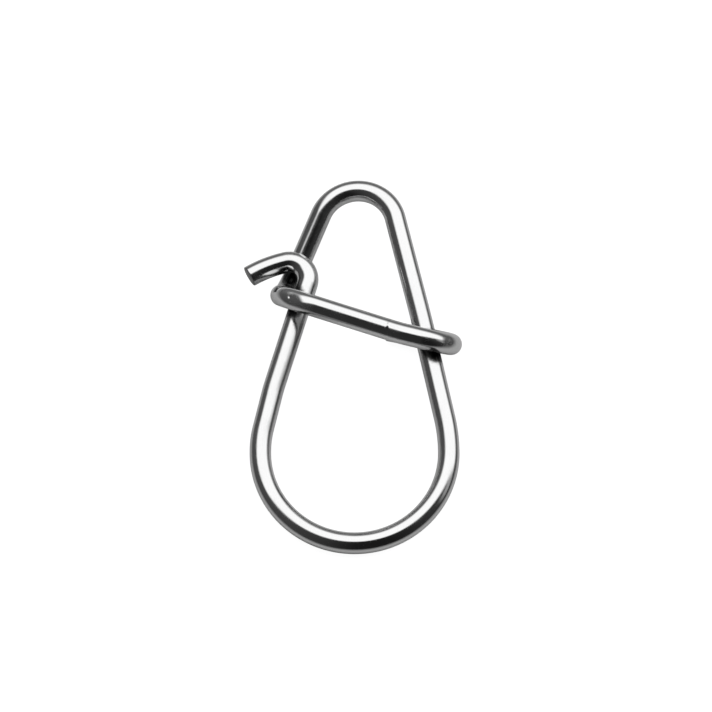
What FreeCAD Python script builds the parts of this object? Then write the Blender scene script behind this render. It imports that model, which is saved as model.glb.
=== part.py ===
import FreeCAD, Part
import math
import os

# A lure snap: one length of round spring wire, bent cold into a pear-shaped loop that latches twice.
# Lengths are millimetres and angles are degrees. The snap is laid out flat first: x to the right,
# y from the large loop to the small one, z out of its front. It is then laid down as it rests.

# Wire
wire_diameter = 1.5
crossing_clearance = 0.03        # air between two stretches that cross
end_edge_radius = 0.09           # rounding left on the two cut ends

# Large loop, which carries the lure. Its centre is where the flat layout starts.
lure_loop_radius = 6.53          # to the middle of the wire, as every radius below
right_shoulder_radius = 12.0     # where the loop eases into the right leg
left_shoulder_radius = 6.8
left_shoulder_height = 0.93      # of its corner

# Small loop, which takes the line
line_loop_radius = 2.82
line_loop_height = 16.77         # its centre above the large loop's centre
line_loop_offset = 0.15          # its centre to the right of the large loop's centre
line_loop_set = 0.5              # how far its left end is bent back
line_loop_set_angle = 130.0      # where on the loop that bend starts, from the x axis
line_loop_set_radius = 2.74      # of the loop from there to the left leg

# Legs
right_leg_lean = 12.1            # from the y axis
right_bow_height = 9.96          # where the leg, which is sprung, bows a little inwards
right_bow_radius = 60.0
left_leg_lean = 16.6
left_leg_foot = 1.75             # how high its line meets the side of the large loop
left_bow_height = 4.6            # where it too bows a little inwards
left_bow_radius = 12.0

# Latch bar, across the front of both legs
bar_right_height = 7.56          # where it crosses the right leg
bar_right_lift = 0.35            # how far it stands off that leg
bar_left_height = 10.29          # where it crosses the left leg
bar_left_lift = 0.95             # how far it stands off that leg
bar_sag = 0.12                   # how far it bows down between them
bar_sag_place = 0.24             # share of its length from the right leg
bar_sag_radius = 18.0

# End hook, around the right leg
end_hook_slack = 0.09            # extra air beside the leg
end_hook_flare = 0.1             # how much further out the back of the turn stands
end_hook_rise = 1.42             # how far up the leg the back of the turn is
end_hook_front_radius = 2.2
end_hook_back_radius = 1.2
end_hook_length = 4.5            # the run hidden behind the leg
end_hook_slope = 12.2

# Left bend, around the left leg
left_bend_rise = 1.5             # how far up the leg the back of the turn is
left_bend_front_radius = 2.65
left_bend_back_radius = 1.5

# Upper left leg, and its knee, where it has passed behind the tail hook
upper_leg_depth = 0.25           # how far it stands off behind, from the left bend to the knee
knee_lead = 0.55                 # above the crossing, along the leg
knee_radius = 4.0

# Tail hook, over the upper left leg, and the thumb tail it ends in
tail_hook_height = 12.77         # its centre above the large loop's centre
tail_hook_radius = 1.32
tail_start_droop = 14.0          # below the x axis where the hook ends
tail_end_droop = 32.0
tail_length = 2.77


def point(x, y, z=0.0):
    return FreeCAD.Vector(x, y, z)


def heading(angle):
    """The flat direction at an angle from the x axis."""
    return point(math.cos(math.radians(angle)), math.sin(math.radians(angle)))


def angle_of(direction):
    return math.degrees(math.atan2(direction.y, direction.x))


def at_depth(flat_point, depth):
    return point(flat_point.x, flat_point.y, depth)


def corner_on_circle(centre, radius, first_angle, last_angle):
    """The point where the tangents at two angles of a circle meet."""
    half = math.radians(last_angle - first_angle) / 2
    return centre + heading((first_angle + last_angle) / 2) * (radius / math.cos(half))


def tangent_angle(start, centre, radius, side):
    """The angle at which a line from start touches a circle, counterclockwise of start for side 1."""
    from_centre = start - centre
    swing = math.degrees(math.acos(radius / from_centre.Length))
    return (angle_of(from_centre) + side * swing) % 360


def at_height(start, direction, height):
    """The point of a flat line at a given y."""
    return start + direction * ((height - start.y) / direction.y)


# Distance between the middles of two stretches that cross
crossing = wire_diameter + crossing_clearance

# Runs shorter than this are left out, because the arcs on both sides already meet
shortest_run = 0.00001

# How closely the path is sampled for the way it rests, and how often that is worked out again
samples_per_edge = 300
settling_steps = 6

# Lines of the two legs, from where the shoulders end
loop_centre = point(0, 0)
right_shoulder = point(lure_loop_radius - right_shoulder_radius, 0)
right_leg_up = heading(90 + right_leg_lean)
right_leg_out = heading(right_leg_lean)
right_leg_start = right_shoulder + right_leg_out * right_shoulder_radius
left_shoulder_corner = point(-lure_loop_radius, left_shoulder_height)
left_leg_up = heading(90 - left_leg_lean)
left_leg_out = heading(180 - left_leg_lean)
left_leg_start = point(-lure_loop_radius, left_leg_foot)
left_bow = at_height(left_leg_start, left_leg_up, left_bow_height)

# Small loop and the bow of the right leg
line_centre = point(line_loop_offset, line_loop_height)
right_bow = at_height(right_leg_start, right_leg_up, right_bow_height)
line_right_angle = tangent_angle(right_bow, line_centre, line_loop_radius, 1)

# Latch bar over both legs
bar_right = at_height(right_leg_start, right_leg_up, bar_right_height)
bar_left = at_height(left_leg_start, left_leg_up, bar_left_height)
bar_middle = bar_right + (bar_left - bar_right) * bar_sag_place - point(0, bar_sag)


def bar_end(leg_point, leg_out, reach):
    """Where the bar's line, run on past a leg, is a given distance out from that leg."""
    bar_direction = (leg_point - bar_middle).normalize()
    return leg_point + bar_direction * (reach / bar_direction.dot(leg_out))


end_hook_front = bar_end(bar_right, right_leg_out, crossing + end_hook_slack)
end_hook_back = end_hook_front + right_leg_up * end_hook_rise + right_leg_out * end_hook_flare
end_tip = end_hook_back + heading(180 - end_hook_slope) * end_hook_length
left_bend_front = bar_end(bar_left, left_leg_out, crossing)
left_bend_back = left_bend_front + left_leg_up * left_bend_rise

# Tail hook, beside the left leg
left_leg_beside = at_height(left_leg_start, left_leg_up, tail_hook_height)
tail_hook_centre = left_leg_beside + point(-tail_hook_radius / math.cos(math.radians(left_leg_lean)), 0)
tail_start_angle = 90 + tail_start_droop
tail_hook_corner = corner_on_circle(tail_hook_centre, tail_hook_radius, -left_leg_lean, tail_start_angle)
tail_start = tail_hook_centre + heading(tail_start_angle) * tail_hook_radius
tail_corner = tail_start + heading(180 + tail_start_droop) * (tail_length / 2)
tail_tip = tail_corner + heading(180 + tail_end_droop) * (tail_length / 2)
tail_radius = tail_length / 2 / math.tan(math.radians(tail_end_droop - tail_start_droop) / 2)

# Upper left leg, from the left bend to the small loop, and the knee where it passes under the hook
line_left_angle = tangent_angle(left_bend_back, line_centre, line_loop_radius, -1)
upper_leg_up = heading(line_left_angle - 90)
to_hook = tail_hook_centre - left_bend_back
along_leg = to_hook.dot(upper_leg_up)
beside_leg = (to_hook - upper_leg_up * along_leg).Length
half_chord = math.sqrt(tail_hook_radius ** 2 - beside_leg ** 2)
knee = left_bend_back + upper_leg_up * (along_leg + half_chord + knee_lead)

# Corners of the small loop
line_left_corner = corner_on_circle(line_centre, line_loop_radius, line_loop_set_angle, line_left_angle)
line_right_corner = corner_on_circle(line_centre, line_loop_radius, line_right_angle, line_loop_set_angle)

# How far in front of the legs the bar's middle runs, and how far behind them the wire runs
right_front = crossing + bar_right_lift
left_front = crossing + bar_left_lift
middle_front = right_front + (left_front - right_front) * bar_sag_place
right_back = -crossing
left_back = -crossing - upper_leg_depth

# The whole wire as corners with their bend radii, from the hidden end to the tail
end_tip_cut = at_depth(end_tip, right_back)
route = [
    (end_tip_cut, 0),
    (at_depth(end_hook_back, right_back), end_hook_back_radius),
    (at_depth(end_hook_front, right_front), end_hook_front_radius),
    (at_depth(bar_middle, middle_front), bar_sag_radius),
    (at_depth(left_bend_front, left_front), left_bend_front_radius),
    (at_depth(left_bend_back, left_back), left_bend_back_radius),
    (at_depth(knee, left_back), knee_radius),
    (at_depth(line_left_corner, -line_loop_set), line_loop_set_radius),
    (line_right_corner, line_loop_radius),
    (right_bow, right_bow_radius),
    (corner_on_circle(right_shoulder, right_shoulder_radius, 0, right_leg_lean), right_shoulder_radius),
    (corner_on_circle(loop_centre, lure_loop_radius, -90, 0), lure_loop_radius),
    (corner_on_circle(loop_centre, lure_loop_radius, -180, -90), lure_loop_radius),
    (left_shoulder_corner, left_shoulder_radius),
    (left_bow, left_bow_radius),
    (tail_hook_corner, tail_hook_radius),
    (tail_corner, tail_radius),
    (tail_tip, 0),
]


def path_of(corners):
    """Straight runs joined by tangent arcs, one arc at each inner corner, as a list of edges."""
    edges = []
    run_start = corners[0][0]
    for index in range(1, len(corners) - 1):
        before, corner, after = (corners[index + step][0] for step in (-1, 0, 1))
        radius = corners[index][1]
        arriving = (corner - before).normalize()
        leaving = (after - corner).normalize()
        turn = arriving.getAngle(leaving)
        reach = radius * math.tan(turn / 2)
        arc_start = corner - arriving * reach
        arc_end = corner + leaving * reach
        inwards = (leaving - arriving).normalize()
        arc_middle = corner + inwards * (radius / math.cos(turn / 2) - radius)
        if (arc_start - run_start).Length > shortest_run:
            edges.append(Part.LineSegment(run_start, arc_start).toShape())
        edges.append(Part.Arc(arc_start, arc_middle, arc_end).toShape())
        run_start = arc_end
    if (corners[-1][0] - run_start).Length > shortest_run:
        edges.append(Part.LineSegment(run_start, corners[-1][0]).toShape())
    return edges


def swept_wire(edges):
    """The round wire along the path, with both cut ends eased."""
    path = Part.Wire(edges)
    start = edges[0].Vertexes[0].Point
    direction = edges[0].tangentAt(edges[0].FirstParameter)
    section = Part.Face(Part.Wire(Part.Circle(start, direction, wire_diameter / 2).toShape()))
    solid = path.makePipe(section)
    rims = [edge for edge in solid.Edges if is_rim(edge)]
    return solid.makeFillet(end_edge_radius, rims)


def is_rim(edge):
    """True for the circle around one of the cut ends."""
    return any((edge.CenterOfMass - tip).Length < wire_diameter / 4 for tip in (end_tip_cut, tail_tip))


def rest_direction(edges):
    """Straight up, in the flat layout, once the snap lies on its back.

    It lies on three places: the end hook on the right, the knee on the left and the large loop. The
    lowest point of each moves as the snap settles, so the plane through them is worked out a few times.
    """
    middles = [place for edge in edges for place in edge.discretize(samples_per_edge)]
    stretches = (
        [place for place in middles if place.y > 0 and place.x > 0],
        [place for place in middles if place.y > 0 and place.x < 0],
        [place for place in middles if place.y < 0],
    )
    up = point(0, 0, 1)
    for settling in range(settling_steps):
        lowest = [min(stretch, key=up.dot) for stretch in stretches]
        up = (lowest[1] - lowest[0]).cross(lowest[2] - lowest[0]).normalize()
    return up


os.makedirs("parts", exist_ok=True)
path_edges = path_of(route)
snap = swept_wire(path_edges)

up = rest_direction(path_edges)
lay_down = FreeCAD.Rotation(up, point(0, 0, 1))
snap.Placement = FreeCAD.Placement(point(0, 0), lay_down)
box = snap.optimalBoundingBox(False)
snap.translate(-point(box.Center.x, box.Center.y, box.ZMin))

snap.exportStep("parts/snap_wire.step")
wire_length = sum(edge.Length for edge in path_edges)
print("wire length", round(wire_length, 3), "volume", round(snap.Volume, 3), "valid", snap.isValid())
print("straight up in the flat layout", up, "moved by", snap.Placement.Base)
print("size", [round(side, 3) for side in (box.XLength, box.YLength, box.ZLength)])
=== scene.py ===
import math

import bpy
import numpy as np
from mathutils import Matrix


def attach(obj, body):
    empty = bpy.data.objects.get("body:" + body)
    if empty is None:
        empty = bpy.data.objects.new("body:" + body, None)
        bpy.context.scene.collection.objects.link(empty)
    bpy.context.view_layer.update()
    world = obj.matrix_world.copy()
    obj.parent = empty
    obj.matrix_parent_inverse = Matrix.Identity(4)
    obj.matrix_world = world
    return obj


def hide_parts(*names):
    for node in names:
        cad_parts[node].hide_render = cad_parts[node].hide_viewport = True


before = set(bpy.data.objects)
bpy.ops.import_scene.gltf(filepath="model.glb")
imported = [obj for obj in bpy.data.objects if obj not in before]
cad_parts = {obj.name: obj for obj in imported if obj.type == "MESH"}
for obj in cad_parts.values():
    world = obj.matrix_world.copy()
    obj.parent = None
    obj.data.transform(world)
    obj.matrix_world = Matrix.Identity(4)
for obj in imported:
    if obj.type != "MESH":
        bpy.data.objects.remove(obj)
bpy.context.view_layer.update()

mm = 0.001

# One length of polished stainless spring wire, bent into a lure snap that latches twice.
# It is laid out flat first, as the bench model is: x to the right, y from the large loop to the small
# one, z out of the front, all in millimetres and degrees, and then laid down as it rests.
snapWire = {
    "diameter": 1.5,
    "crossingGap": 0.03,           # air between two stretches that cross
    "cutEdgeRadius": 0.09,         # rounding left on the two cut ends
    "lureLoopRadius": 6.53,        # to the middle of the wire, as every radius below
    "rightShoulderRadius": 12.0,
    "rightLegLean": 12.1,
    "leftShoulderHeight": 0.93,
    "leftShoulderRadius": 6.8,
    "leftLegLean": 16.6,
    "leftLegFootHeight": 1.75,     # where its line meets the side of the large loop
    "leftBowHeight": 4.6,          # where the left leg bows a little inwards
    "leftBowRadius": 12.0,
    "lineLoopRadius": 2.82,
    "lineLoopCentre": (0.15, 16.77),
    "lineLoopSet": 0.5,            # how far its left end is bent back
    "lineLoopSetAngle": 130.0,
    "lineLoopSetRadius": 2.74,
    "rightBowHeight": 9.96,        # where the sprung right leg bows a little inwards
    "rightBowRadius": 60.0,
    "barRightHeight": 7.56,        # where the latch bar crosses each leg
    "barRightLift": 0.35,          # how far it stands off each leg
    "barLeftHeight": 10.29,
    "barLeftLift": 0.95,
    "barSag": 0.12,
    "barSagPlace": 0.24,
    "barSagRadius": 18.0,
    "endHookSlack": 0.09,
    "endHookFlare": 0.1,
    "endHookRise": 1.42,
    "endHookFrontRadius": 2.2,
    "endHookBackRadius": 1.2,
    "endHookLength": 4.5,
    "endHookSlope": 12.2,
    "leftBendRise": 1.5,
    "leftBendFrontRadius": 2.65,
    "leftBendBackRadius": 1.5,
    "kneeLead": 0.55,
    "upperLegDepth": 0.25,         # how far the upper left leg stands off behind
    "kneeRadius": 4.0,
    "tailHookHeight": 12.77,
    "tailHookRadius": 1.32,
    "tailStartDroop": 14.0,
    "tailEndDroop": 32.0,
    "tailLength": 2.77,
}

# How finely the wire's skin is divided
wireGrid = {
    "around": 84,                  # faces around the wire
    "turnStep": 1.6,               # degrees of bend from ring to ring
    "arcStep": 0.15,               # and at most this far apart in a bend, mm
    "runStep": 0.2,                # along a straight run, mm
    "fewestSteps": 3,              # in a bend
    "shortestRun": 0.001,          # a shorter run is left out, mm
    "restRounds": 6,               # of settling on the table
    "faceRings": (0.3, 0.7),       # on a cut face, as shares of the wire's radius
    "faceMargin": 0.15,            # from the last of them to the cut's rounding, as a share of the rounding
    "edgeRings": 7,                # over the rounding
    "edgeMargin": 0.2,             # from there to the next ring, as a share of the rounding
    "markRings": 41,               # over a mark
    "markReach": 3.0,              # how far they run to each side, in lengths of the mark
}

# Small marks, in millimetres and degrees: how far along the wire, where around it, and how large. A
# depth below 0 stands proud of the skin.
wireMarks = (
    # A burr on the latch bar
    {"along": 11.47, "angle": 131.0, "length": 0.08, "width": 0.14, "depth": -0.042},
    # A nick in the left bend, and the mark of a tool beside it
    {"along": 18.31, "angle": 118.0, "length": 0.08, "width": 0.09, "depth": 0.035},
    {"along": 18.15, "angle": 120.0, "length": 0.5, "width": 0.5, "depth": 0.12},
    # The mark of a tool in the right bend
    {"along": 7.37, "angle": 130.0, "length": 0.36, "width": 0.45, "depth": 0.05},
)

# Where other stretches of the wire crowd its skin, which there is rougher and painted dark: painted shade
# and dark reflections beside the crossings
crowdedSkin = {
    "step": 0.3,                   # between the places on the other stretches that are counted, mm
    "ownStretch": 4.0,             # what lies nearer along the wire isn't counted, in radii of the wire
    "reach": 1.5,                  # from the skin to another stretch, mm
    "least": 0.34,                 # the amount where the painted shade starts
    "most": 0.75,                  # and where it is full
}
cutReach = 1.3                     # how far a cut's finish runs over its rounding: all of it over 1


def flat(x, y, z=0.0):
    return np.array([x, y, z], float)


def heading(angle):  # the flat direction at an angle from the x axis
    return flat(math.cos(math.radians(angle)), math.sin(math.radians(angle)))


def unit(v):
    return v / np.linalg.norm(v)


def angleOf(v):
    return math.degrees(math.atan2(v[1], v[0]))


def atDepth(place, depth):
    return flat(place[0], place[1], depth)


def cornerOnCircle(centre, radius, first, last):  # where the tangents at two angles of a circle meet
    half = math.radians(last - first) / 2
    return centre + heading((first + last) / 2) * (radius / math.cos(half))


def tangentAngle(start, centre, radius, side):  # where a line from start touches a circle
    away = start - centre
    swing = math.degrees(math.acos(radius / np.linalg.norm(away)))
    return (angleOf(away) + side * swing) % 360


def atHeight(start, direction, height):  # the point of a flat line at a given y
    return start + direction * ((height - start[1]) / direction[1])


def barEnd(legPoint, legOut, barMiddle, reach):  # the bar's line, run on past a leg
    along = unit(legPoint - barMiddle)
    return legPoint + along * (reach / along.dot(legOut))


# Corners of the wire's route with their bend radii, from the hidden end to the thumb tail
def wireRoute(w):
    crossing = w["diameter"] + w["crossingGap"]
    loopCentre = flat(0, 0)
    lureR, shoulderR = w["lureLoopRadius"], w["rightShoulderRadius"]
    rightShoulder = flat(lureR - shoulderR, 0)
    rightUp, rightOut = heading(90 + w["rightLegLean"]), heading(w["rightLegLean"])
    leftUp, leftOut = heading(90 - w["leftLegLean"]), heading(180 - w["leftLegLean"])
    rightStart = rightShoulder + rightOut * shoulderR
    leftStart = flat(-lureR, w["leftLegFootHeight"])
    leftBow = atHeight(leftStart, leftUp, w["leftBowHeight"])

    lineCentre, lineR = flat(*w["lineLoopCentre"]), w["lineLoopRadius"]
    rightBow = atHeight(rightStart, rightUp, w["rightBowHeight"])
    lineRight = tangentAngle(rightBow, lineCentre, lineR, 1)

    barRight = atHeight(rightStart, rightUp, w["barRightHeight"])
    barLeft = atHeight(leftStart, leftUp, w["barLeftHeight"])
    barMiddle = barRight + (barLeft - barRight) * w["barSagPlace"] - flat(0, w["barSag"])
    rightFront, leftFront = crossing + w["barRightLift"], crossing + w["barLeftLift"]
    middleFront = rightFront + (leftFront - rightFront) * w["barSagPlace"]
    upperBack = -crossing - w["upperLegDepth"]
    hookFront = barEnd(barRight, rightOut, barMiddle, crossing + w["endHookSlack"])
    hookBack = hookFront + rightUp * w["endHookRise"] + rightOut * w["endHookFlare"]
    endTip = hookBack + heading(180 - w["endHookSlope"]) * w["endHookLength"]
    bendFront = barEnd(barLeft, leftOut, barMiddle, crossing)
    bendBack = bendFront + leftUp * w["leftBendRise"]

    tailR, tailStart = w["tailHookRadius"], 90 + w["tailStartDroop"]
    beside = atHeight(leftStart, leftUp, w["tailHookHeight"])
    tailCentre = beside - flat(tailR / math.cos(math.radians(w["leftLegLean"])), 0)
    tailHook = cornerOnCircle(tailCentre, tailR, -w["leftLegLean"], tailStart)
    halfTail = w["tailLength"] / 2
    tailCorner = tailCentre + heading(tailStart) * tailR + heading(tailStart + 90) * halfTail
    tailTip = tailCorner + heading(180 + w["tailEndDroop"]) * halfTail
    tailTurn = math.radians(w["tailEndDroop"] - w["tailStartDroop"])

    lineLeft = tangentAngle(bendBack, lineCentre, lineR, -1)
    upperUp = heading(lineLeft - 90)
    toHook = tailCentre - bendBack
    along = toHook.dot(upperUp)
    besideLeg = np.linalg.norm(toHook - upperUp * along)
    knee = bendBack + upperUp * (along + math.sqrt(tailR ** 2 - besideLeg ** 2) + w["kneeLead"])

    setAngle = w["lineLoopSetAngle"]
    lineLeftCorner = cornerOnCircle(lineCentre, lineR, setAngle, lineLeft)
    return [
        (atDepth(endTip, -crossing), 0),
        (atDepth(hookBack, -crossing), w["endHookBackRadius"]),
        (atDepth(hookFront, rightFront), w["endHookFrontRadius"]),
        (atDepth(barMiddle, middleFront), w["barSagRadius"]),
        (atDepth(bendFront, leftFront), w["leftBendFrontRadius"]),
        (atDepth(bendBack, upperBack), w["leftBendBackRadius"]),
        (atDepth(knee, upperBack), w["kneeRadius"]),
        (atDepth(lineLeftCorner, -w["lineLoopSet"]), w["lineLoopSetRadius"]),
        (cornerOnCircle(lineCentre, lineR, lineRight, setAngle), lineR),
        (rightBow, w["rightBowRadius"]),
        (cornerOnCircle(rightShoulder, shoulderR, 0, w["rightLegLean"]), shoulderR),
        (cornerOnCircle(loopCentre, lureR, -90, 0), lureR),
        (cornerOnCircle(loopCentre, lureR, -180, -90), lureR),
        (flat(-lureR, w["leftShoulderHeight"]), w["leftShoulderRadius"]),
        (leftBow, w["leftBowRadius"]),
        (tailHook, tailR),
        (tailCorner, halfTail / math.tan(tailTurn / 2)),
        (tailTip, 0),
    ]


def turned(v, axis, angles):  # v turned about an axis by each of many angles
    c, s = np.cos(angles)[:, None], np.sin(angles)[:, None]
    return v * c + np.cross(axis, v) * s + axis * (axis.dot(v) * (1 - c))


# Stations along the wire: straight runs, and arcs tangent to them. Each has its place, its direction,
# a side vector carried along without twist, and the way its bend turns divided by the bend's radius.
def wireStations(route, grid):
    places, directions, sides, bends = [], [], [], []
    here = route[0][0]
    ahead = unit(route[1][0] - here)
    side = unit(np.cross(ahead, flat(0, 0, 1)))

    def run(toPlace):
        length = np.linalg.norm(toPlace - here)
        count = int(length / grid["runStep"]) + 1
        share = np.arange(count)[:, None] / count
        places.append(here + (toPlace - here) * share)
        directions.append(np.repeat([ahead], count, 0))
        sides.append(np.repeat([side], count, 0))
        bends.append(np.zeros((count, 3)))

    for index in range(1, len(route) - 1):
        corner, radius = route[index]
        leaving = unit(route[index + 1][0] - corner)
        turn = math.acos(np.clip(ahead.dot(leaving), -1, 1))
        reach = radius * math.tan(turn / 2)
        arcStart = corner - ahead * reach
        if (arcStart - here).dot(ahead) > grid["shortestRun"]:
            run(arcStart)
        axis = unit(np.cross(ahead, leaving))
        inwards = np.cross(axis, ahead)
        step = min(math.radians(grid["turnStep"]), grid["arcStep"] / radius)
        count = max(int(turn / step) + 1, grid["fewestSteps"])
        angles = turn * np.arange(count) / count
        centre = arcStart + inwards * radius
        places.append(centre - turned(inwards, axis, angles) * radius)
        directions.append(turned(ahead, axis, angles))
        sides.append(turned(side, axis, angles))
        bends.append(turned(inwards, axis, angles) / radius)
        here = corner + leaving * reach
        side = turned(side, axis, np.array([turn]))[0]
        ahead = leaving
    last = route[-1][0]
    if np.linalg.norm(last - here) > grid["shortestRun"]:
        run(last)
    places.append(last[None])
    directions.append(ahead[None])
    sides.append(side[None])
    bends.append(bends[-1][-1:])
    return [np.concatenate(part) for part in (places, directions, sides, bends)]


# Straight up once the snap lies on its back: square to the plane through the lowest points of the end
# hook, the knee and the large loop, worked out a few times because those points move as it settles.
def restUp(places, rounds):
    above = places[:, 1] > 0
    right = places[:, 0] > 0
    stretches = (places[above & right], places[above & ~right], places[~above])
    up = flat(0, 0, 1)
    for settling in range(rounds):
        first, second, third = (part[(part @ up).argmin()] for part in stretches)
        up = unit(np.cross(second - first, third - first))
    return up


def turnOnto(up):  # the smallest turn that takes a direction to straight up, as a 3 by 3 matrix
    axis = np.cross(up, flat(0, 0, 1))
    k = np.array([[0, -axis[2], axis[1]], [axis[2], 0, -axis[0]], [-axis[1], axis[0], 0]])
    return np.eye(3) + k + k @ k / (1 + up[2])


# More stations over each mark, read between the ones that are there
def addStations(stations, marks, grid):
    places = stations[0]
    along = np.r_[0, np.cumsum(np.linalg.norm(np.diff(places, axis=0), axis=1))]
    spread = np.linspace(-grid["markReach"], grid["markReach"], grid["markRings"])
    extra = [mark["along"] + spread * mark["length"] for mark in marks]
    where = np.unique(np.concatenate([along] + extra))

    def between(part):
        return np.stack([np.interp(where, along, part[:, axis]) for axis in range(3)], 1)

    return [between(part) for part in stations], where


# Rings of the finished wire. Between the two cuts each ring is a circle of the wire's radius. Over the
# rounding of a cut it shrinks along a quarter circle, and then across the flat face to a pole.
def wireRings(stations, along, w, grid):
    places, directions, sides, bends = stations
    radius, edge = w["diameter"] / 2, w["cutEdgeRadius"]
    capLength = edge * (1 + grid["edgeMargin"])
    body = np.where((along > capLength) & (along < along[-1] - capLength))[0]

    quarter = np.linspace(0, math.pi / 2, grid["edgeRings"])
    faceRadius = np.r_[np.array(grid["faceRings"]) * radius, radius - edge * (1 + grid["faceMargin"])]
    endRadius = np.r_[faceRadius, radius - edge + edge * np.sin(quarter)]
    endDepth = np.r_[np.zeros(len(faceRadius)), edge - edge * np.cos(quarter)]

    def capRings(tip, sign):
        place = places[tip] + directions[tip] * sign * endDepth[:, None]
        rows = np.repeat(tip, len(endDepth))
        where = along[tip] + sign * endDepth
        face = np.clip(cutReach * (1 - endDepth / edge), 0, 1)
        return place, rows, endRadius, where, face

    head = capRings(0, 1)
    foot = [part[::-1] for part in capRings(len(places) - 1, -1)]
    place = np.concatenate([head[0], places[body], foot[0]])
    rows = np.r_[head[1], body, foot[1]].astype(int)
    ringRadius = np.r_[head[2], np.full(len(body), radius), foot[2]]
    where = np.r_[head[3], along[body], foot[3]]
    face = np.r_[head[4], np.zeros(len(body)), foot[4]]
    return place, directions[rows], sides[rows], bends[rows], ringRadius, where, face


# Depth of the marks: depth * exp(-(along / length)^2 - (around / width)^2), summed over the marks
def markDepth(where, angles, marks, radius):
    depth = np.zeros((len(where), len(angles)))
    for mark in marks:
        turn = (angles - math.radians(mark["angle"]) + math.pi) % (2 * math.pi) - math.pi
        away = ((where - mark["along"]) / mark["length"])[:, None] ** 2
        depth += mark["depth"] * np.exp(-away - (turn * radius / mark["width"])[None, :] ** 2)
    return depth


# How the rest of the wire crowds the skin, from 0 to 1: (1 - gap / reach) squared, added up along the
# other stretches, and then a smooth step
def crowding(skin, place, where, radius, c):
    stops = np.arange(where[0], where[-1], c["step"])
    others = np.stack([np.interp(stops, where, place[:, axis]) for axis in range(3)], 1)
    apart = (skin ** 2).sum(2)[..., None] + (others ** 2).sum(1) - 2 * skin @ others.T
    near = np.clip(1 - (np.sqrt(np.clip(apart, 0, None)) - radius) / c["reach"], 0, 1) ** 2
    otherStretch = np.abs(where[:, None] - stops) > c["ownStretch"] * radius
    crowd = (near * otherStretch[:, None]).sum(2) * c["step"]
    share = np.clip((crowd - c["least"]) / (c["most"] - c["least"]), 0, 1)
    return share * share * (3 - 2 * share)


# The skin: place + radius * (cos(a) * side + sin(a) * (direction x side)) for each ring and each angle a
def wireMesh(name, w, marks, grid):
    stations, along = addStations(wireStations(wireRoute(w), grid), marks, grid)
    place, ahead, side, bend, ringRadius, where, face = wireRings(stations, along, w, grid)
    radius = w["diameter"] / 2
    angles = np.arange(grid["around"]) * 2 * math.pi / grid["around"]
    outward = (
        np.cos(angles)[None, :, None] * side[:, None, :]
        + np.sin(angles)[None, :, None] * np.cross(ahead, side)[:, None, :]
    )
    skinRadius = ringRadius[:, None] - markDepth(where, angles, marks, radius)
    skin = place[:, None, :] + outward * skinRadius[..., None]
    rings, around = skin.shape[:2]
    poles = np.stack([stations[0][0], stations[0][-1]])
    points = np.concatenate([skin.reshape(-1, 3), poles])

    lay = turnOnto(restUp(stations[0], grid["restRounds"]))
    points = points @ lay.T
    low, high = points.min(0), points.max(0)
    shift = -flat((low[0] + high[0]) / 2, (low[1] + high[1]) / 2, low[2])
    points = (points + shift) * mm

    ring = np.arange(rings - 1)[:, None] * around
    step = np.arange(around)[None, :]
    after = (step + 1) % around
    quads = np.stack([ring + step, ring + after, ring + around + after, ring + around + step], -1)
    first, last = rings * around, rings * around + 1
    startFan = np.stack([np.full(around, first), after[0], step[0]], -1)
    lastRing = (rings - 1) * around
    endFan = np.stack([np.full(around, last), lastRing + step[0], lastRing + after[0]], -1)
    faces = quads.reshape(-1, 4).tolist() + startFan.tolist() + endFan.tolist()

    mesh = bpy.data.meshes.new(name)
    mesh.from_pydata(points.tolist(), [], faces)
    mesh.polygons.foreach_set("use_smooth", [True] * len(mesh.polygons))

    # The drawn skin as a vector: around the wire on a circle, and along it, in millimetres
    drawn = np.empty((rings, around, 3))
    drawn[..., 0] = np.cos(angles) * radius
    drawn[..., 1] = np.sin(angles) * radius
    drawn[..., 2] = where[:, None]
    ends = np.array([[0, 0, where[0]], [0, 0, where[-1]]])
    outside = np.clip(-(outward * bend[:, None, :]).sum(2) * radius, 0, 1)
    close = crowding(skin, place, where, radius, crowdedSkin)
    addAttribute(mesh, "drawnSkin", "FLOAT_VECTOR", "vector", np.concatenate([drawn.reshape(-1, 3), ends]))
    addAttribute(mesh, "stretchedSide", "FLOAT", "value", np.r_[outside.ravel(), 0, 0])
    addAttribute(mesh, "closeBy", "FLOAT", "value", np.r_[close.ravel(), 0, 0])
    addAttribute(mesh, "cutFace", "FLOAT", "value", np.r_[np.repeat(face, around), 1, 1])
    mesh.update()
    wire = bpy.data.objects.new(name, mesh)
    bpy.context.scene.collection.objects.link(wire)
    return wire, lay, shift


def addAttribute(mesh, name, kind, field, values):
    layer = mesh.attributes.new(name, kind, "POINT")
    layer.data.foreach_set(field, values.astype(np.float32).ravel())


def addNode(tree, kind, inputs=None, **settings):  # a node with its settings, and its inputs set or linked
    node = tree.nodes.new(kind)
    for name, value in settings.items():
        setattr(node, name, value)
    for name, value in (inputs or {}).items():
        if isinstance(value, bpy.types.NodeSocket):
            tree.links.new(value, node.inputs[name])
        else:
            node.inputs[name].default_value = value
    return node


def maths(tree, operation, *values):
    return addNode(tree, "ShaderNodeMath", dict(enumerate(values)), operation=operation).outputs[0]


def ramp(tree, value, fromLow, fromHigh, toLow, toHigh, kind="LINEAR"):
    names = ("Value", "From Min", "From Max", "To Min", "To Max")
    inputs = dict(zip(names, (value, fromLow, fromHigh, toLow, toHigh)))
    return addNode(tree, "ShaderNodeMapRange", inputs, interpolation_type=kind).outputs[0]


def total(tree, parts, start=0.0):  # start + value * share + value * share ...
    result = start
    for value, share in parts:
        result = maths(tree, "MULTIPLY_ADD", value, share, result)
    return result


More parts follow.
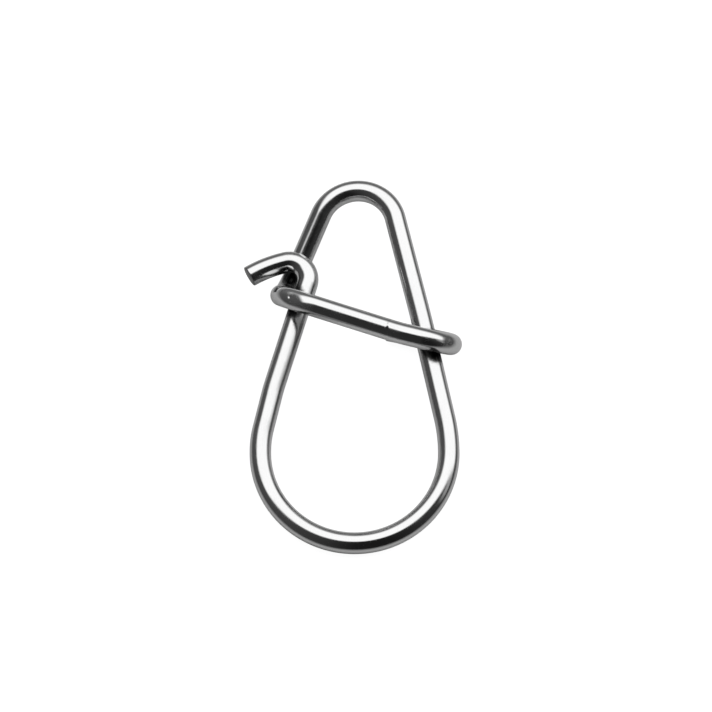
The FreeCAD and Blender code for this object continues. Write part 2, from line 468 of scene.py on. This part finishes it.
# Polished stainless spring wire. Sizes are millimetres, and a depth is from the top of a pattern to
# its bottom. Detail is how many finer layers a noise has, and from and to are the heights of the noise
# between which its effect sets in.
polishedSteel = {
    "tone": (0.70, 0.70, 0.70),
    "paintedShadeTone": (0.04, 0.04, 0.04),    # painted shade and dark reflection, beside a crossing
    "cutTone": (0.18, 0.18, 0.18),
    "roughness": 0.10,
    "wave": {"across": 0.9, "along": 5.0, "detail": 1, "depth": 0.007},        # left by the buffing
    "streak": {"across": 0.16, "along": 4.0, "detail": 2, "depth": 0.0007},
    "drawLine": {"across": 0.04, "along": 2.5, "detail": 2, "depth": 0.00012},  # left by the drawing die
    "pebble": {"across": 0.07, "along": 0.07, "detail": 2, "depth": 0.0009},   # on tightly stretched skin
    "smudge": {"across": 1.4, "along": 1.9, "detail": 3, "rough": 0.07, "from": 0.4, "to": 0.65},
    "scratch": {"across": 0.03, "along": 1.3, "depth": 0.0005, "rough": 0.10, "from": 0.70, "to": 0.80},
    "scratchTurns": ((0.3, 0.2, 0.9), (1.1, 0.4, -0.5)),    # of the two sets of scratches, radians
    "shear": {"across": 0.06, "along": 0.5, "detail": 2, "depth": 0.006},      # ridges on a cut face
    "stretchedRough": 0.10,
    "stretchedFrom": 0.12,                # the wire's radius over the bend's, where the pebbles start
    "stretchedTo": 0.5,                   # and where they are full
    "closeRough": 0.20,
    "cutRough": 0.30,
    "paintedShadePatch": {"from": 0.3, "to": 0.6, "least": 0.8},    # the painted shade follows the streaks a little
}


# Noise on the skin, as wide and as long as one of the patterns above
def skinNoise(tree, skin, pattern, size=1):
    across, along = 1 / (pattern["across"] * size), 1 / (pattern["along"] * size)
    inputs = {0: skin, 1: (across, across, along)}
    place = addNode(tree, "ShaderNodeVectorMath", inputs, operation="MULTIPLY").outputs[0]
    inputs = {"Vector": place, "Scale": 1, "Detail": pattern["detail"]}
    noise = addNode(tree, "ShaderNodeTexNoise", inputs)
    return noise.outputs["Fac"]


# Hairline scratches that all run one way: the crests of a noise that is long that way
def scratches(tree, place, pattern, turn):
    across, along = 1 / (pattern["across"] * mm), 1 / (pattern["along"] * mm)
    inputs = {"Vector": place, "Rotation": turn, "Scale": (across, along, across)}
    turnedPlace = addNode(tree, "ShaderNodeMapping", inputs).outputs[0]
    noise = addNode(tree, "ShaderNodeTexNoise", {"Vector": turnedPlace, "Scale": 1, "Detail": 0})
    return ramp(tree, noise.outputs["Fac"], pattern["from"], pattern["to"], 0.0, 1.0)


def steelMaterial(s):
    material = bpy.data.materials.new("polishedSteel")
    material.use_nodes = True
    tree = material.node_tree
    shader = tree.nodes["Principled BSDF"]
    shader.inputs["Metallic"].default_value = 1

    def attribute(name, output):
        return addNode(tree, "ShaderNodeAttribute", attribute_name=name).outputs[output]

    skin = attribute("drawnSkin", "Vector")
    place = addNode(tree, "ShaderNodeTexCoord").outputs["Object"]
    cut = attribute("cutFace", "Fac")
    bent = attribute("stretchedSide", "Fac")
    stretched = ramp(tree, bent, s["stretchedFrom"], s["stretchedTo"], 0.0, 1.0, "SMOOTHSTEP")
    close = attribute("closeBy", "Fac")

    wave = skinNoise(tree, skin, s["wave"])
    streak = skinNoise(tree, skin, s["streak"])
    drawLine = skinNoise(tree, skin, s["drawLine"])
    pebble = skinNoise(tree, skin, s["pebble"])
    smudge = skinNoise(tree, skin, s["smudge"])
    shear = skinNoise(tree, place, s["shear"], mm)
    sets = [scratches(tree, place, s["scratch"], turn) for turn in s["scratchTurns"]]
    scratch = maths(tree, "MAXIMUM", *sets)
    smudged = ramp(tree, smudge, s["smudge"]["from"], s["smudge"]["to"], 0.0, 1.0, "SMOOTHSTEP")
    patch = s["paintedShadePatch"]
    patchy = ramp(tree, streak, patch["from"], patch["to"], patch["least"], 1.0)

    # Height of the surface, in millimetres
    pebbled = maths(tree, "MULTIPLY", pebble, stretched)
    sheared = maths(tree, "MULTIPLY", shear, cut)
    height = total(tree, (
        (wave, s["wave"]["depth"]),
        (streak, s["streak"]["depth"]),
        (drawLine, s["drawLine"]["depth"]),
        (pebbled, s["pebble"]["depth"]),
        (scratch, -s["scratch"]["depth"]),
        (sheared, s["shear"]["depth"]),
    ))
    bump = addNode(tree, "ShaderNodeBump", {"Height": height, "Distance": mm})
    tree.links.new(bump.outputs[0], shader.inputs["Normal"])

    rough = total(tree, (
        (smudged, s["smudge"]["rough"]),
        (stretched, s["stretchedRough"]),
        (close, s["closeRough"]),
        (scratch, s["scratch"]["rough"]),
        (cut, s["cutRough"]),
    ), s["roughness"])
    tree.links.new(rough, shader.inputs["Roughness"])

    # Painted shade: the tone goes to near black where other stretches crowd the skin, standing in for the
    # shade and dark reflections beside the crossings
    paintedShade = maths(tree, "MULTIPLY", close, patchy)
    colour = mixedTone(tree, paintedShade, (*s["tone"], 1), (*s["paintedShadeTone"], 1))
    colour = mixedTone(tree, cut, colour, (*s["cutTone"], 1))
    tree.links.new(colour, shader.inputs["Base Color"])
    return material


def mixedTone(tree, share, first, second):
    mix = addNode(tree, "ShaderNodeMix", {"Factor": share}, data_type="RGBA")
    for socket, value in ((mix.inputs[6], first), (mix.inputs[7], second)):
        if isinstance(value, bpy.types.NodeSocket):
            tree.links.new(value, socket)
        else:
            socket.default_value = value
    return mix.outputs[2]


wire, layDown, layShift = wireMesh("bentWire", snapWire, wireMarks, wireGrid)
wire.data.materials.append(steelMaterial(polishedSteel))
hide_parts("snap_wire")
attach(wire, "root")
print("wire made", len(wire.data.vertices), "points")

# Studio: a pale table, and around it a dark room with one large soft box overhead and a dim strip beside
# it. Directions are across, along and up, seen from the snap.
studio = {
    "tableSize": 6.0,
    "tableTone": 0.8,
    "flatShare": 0.12,             # of the table's tone that is left in a flat reflection: a painted fall-off of light
    "flatFrom": 0.6,               # how flat the view is where it starts to fall, from 0 to 1
    "tableWhite": 0.96,            # of its white behind the object, which the rest of the light adds to
    "shadowTone": 0.28,
    "boxRadiance": 1.38,
    # The soft box has four edges. Each is the plane through the snap and that edge, given by the
    # direction square to it that points into the box, with how softly the light falls off over it.
    "boxEdges": (
        ((-0.08, 1.0, 0.068), 0.09),   # near
        ((0.08, -1.0, 1.75), 0.20),    # far
        ((1.0, 0.2, 0.74), 0.16),      # left
        ((-0.4, 0.32, 1.0), 0.17),     # right
    ),
    # A dim strip to the right of it, with four edges of the same kind
    "stripRadiance": 0.36,
    "stripEdges": (
        ((0.276, 0.961, 0.0), 0.10),     # near
        ((0.0, -1.0, 0.0), 0.08),        # far
        ((-0.242, 0.0, 0.970), 0.12),    # below
        ((0.669, 0.0, -0.743), 0.12),    # above
    ),
    # Tones of the room around the horizon, every 30 degrees from the near side on by the left
    "roomTones": (0.012, 0.045, 0.063, 0.08, 0.10, 0.17, 0.19, 0.18, 0.13, 0.055, 0.035, 0.014, 0.012),
}


def whiteBehind(tree, shader, white):  # the plain white background, which only the camera sees
    path = addNode(tree, "ShaderNodeLightPath")
    mix = addNode(tree, "ShaderNodeMixShader", {0: path.outputs["Is Camera Ray"], 1: shader, 2: white})
    return mix.outputs[0]


def tableMaterial(s):
    material = bpy.data.materials.new("paleTable")
    material.use_nodes = True
    tree = material.node_tree
    tree.nodes.clear()
    # Painted fall-off of light: for all rays but the camera's, the table's tone falls towards flat views,
    # so the metal reflects it darker near the horizon
    facing = addNode(tree, "ShaderNodeLayerWeight").outputs["Facing"]
    tone = ramp(tree, facing, s["flatFrom"], 1.0, s["tableTone"], s["tableTone"] * s["flatShare"])
    plain = addNode(tree, "ShaderNodeBsdfDiffuse", {"Color": tone})
    shadow = addNode(tree, "ShaderNodeBsdfDiffuse", {"Color": (s["shadowTone"],) * 3 + (1,)})
    white = addNode(tree, "ShaderNodeEmission", {"Strength": s["tableWhite"]})
    seen = addNode(tree, "ShaderNodeAddShader", {0: shadow.outputs[0], 1: white.outputs[0]})
    output = addNode(tree, "ShaderNodeOutputMaterial")
    tree.links.new(whiteBehind(tree, plain.outputs[0], seen.outputs[0]), output.inputs["Surface"])
    return material


def makeTable(s):
    half = s["tableSize"] / 2
    corners = [(-half, -half, 0), (half, -half, 0), (half, half, 0), (-half, half, 0)]
    mesh = bpy.data.meshes.new("paleTable")
    mesh.from_pydata(corners, [], [(0, 1, 2, 3)])
    mesh.materials.append(tableMaterial(s))
    table = bpy.data.objects.new("paleTable", mesh)
    bpy.context.scene.collection.objects.link(table)


# How far inside the soft box a direction lies: the product of a soft step over each of its edges
def softBox(tree, direction, edges):
    inside = 1.0
    for square, softness in edges:
        inputs = {0: direction, 1: unit(flat(*square))}
        over = addNode(tree, "ShaderNodeVectorMath", inputs, operation="DOT_PRODUCT").outputs["Value"]
        step = ramp(tree, over, -softness, softness, 0.0, 1.0, "SMOOTHSTEP")
        inside = maths(tree, "MULTIPLY", step, inside)
    return inside


# The room's tone: a ramp around the horizon
def roomTone(tree, direction, s):
    parts = addNode(tree, "ShaderNodeSeparateXYZ", {0: direction}).outputs
    azimuth = maths(tree, "ARCTAN2", parts["X"], parts["Y"])
    around = ramp(tree, azimuth, -math.pi, math.pi, 0.0, 1.0)
    tones = addNode(tree, "ShaderNodeValToRGB", {"Fac": around})
    stops = tones.color_ramp.elements
    for index, tone in enumerate(s["roomTones"]):
        share = index / (len(s["roomTones"]) - 1)
        stop = stops[index] if index < 2 else stops.new(share)
        stop.position = share
        stop.color = (tone, tone, tone, 1)
    return tones.outputs[0]


def makeRoom(s):
    world = bpy.data.worlds.new("studioRoom")
    bpy.context.scene.world = world
    world.use_nodes = True
    tree = world.node_tree
    tree.nodes.clear()
    direction = addNode(tree, "ShaderNodeTexCoord").outputs["Generated"]
    box = softBox(tree, direction, s["boxEdges"])
    strip = softBox(tree, direction, s["stripEdges"])
    dim = maths(tree, "MULTIPLY_ADD", strip, s["stripRadiance"], roomTone(tree, direction, s))
    radiance = addNode(tree, "ShaderNodeMix", {0: box, 2: dim, 3: s["boxRadiance"]})
    room = addNode(tree, "ShaderNodeBackground", {"Color": (1, 1, 1, 1), "Strength": radiance.outputs[0]})
    white = addNode(tree, "ShaderNodeBackground", {"Color": (1, 1, 1, 1)})
    output = addNode(tree, "ShaderNodeOutputWorld")
    tree.links.new(whiteBehind(tree, room.outputs[0], white.outputs[0]), output.inputs["Surface"])


makeTable(studio)
makeRoom(studio)
print("studio made")

# The photograph's camera: it looks at one point of the snap's plane, whose top leans away from it
photoCamera = {
    "aim": (0.099, 7.056),         # of the flat layout, in the middle of the picture
    "topAway": 19.0,               # between the snap's plane and the picture's
    "distance": 210.3,
    "pictureWidth": 49.9,          # at that distance
    "sensor": 36.0,
    "nearest": 5.0,                # what the camera sees lies between these
    "farthest": 10000.0,
}


def makeCamera(c):
    across, alongSnap, front = layDown @ flat(1, 0), layDown @ flat(0, 1), layDown @ flat(0, 0, 1)
    tilt = math.radians(c["topAway"])
    up = alongSnap * math.cos(tilt) + front * math.sin(tilt)
    back = front * math.cos(tilt) - alongSnap * math.sin(tilt)
    aim = (layDown @ flat(*c["aim"]) + layShift) * mm
    data = bpy.data.cameras.new("photoCamera")
    data.sensor_width = c["sensor"]
    data.lens = c["sensor"] * c["distance"] / c["pictureWidth"]
    data.clip_start, data.clip_end = c["nearest"] * mm, c["farthest"] * mm
    camera = bpy.data.objects.new("photoCamera", data)
    place = Matrix(np.column_stack([across, up, back]).tolist()).to_4x4()
    place.translation = (aim + back * c["distance"] * mm).tolist()
    camera.matrix_world = place
    bpy.context.scene.collection.objects.link(camera)
    bpy.context.scene.camera = camera


makeCamera(photoCamera)
bpy.context.scene.view_settings.view_transform = "Standard"
print("camera made")
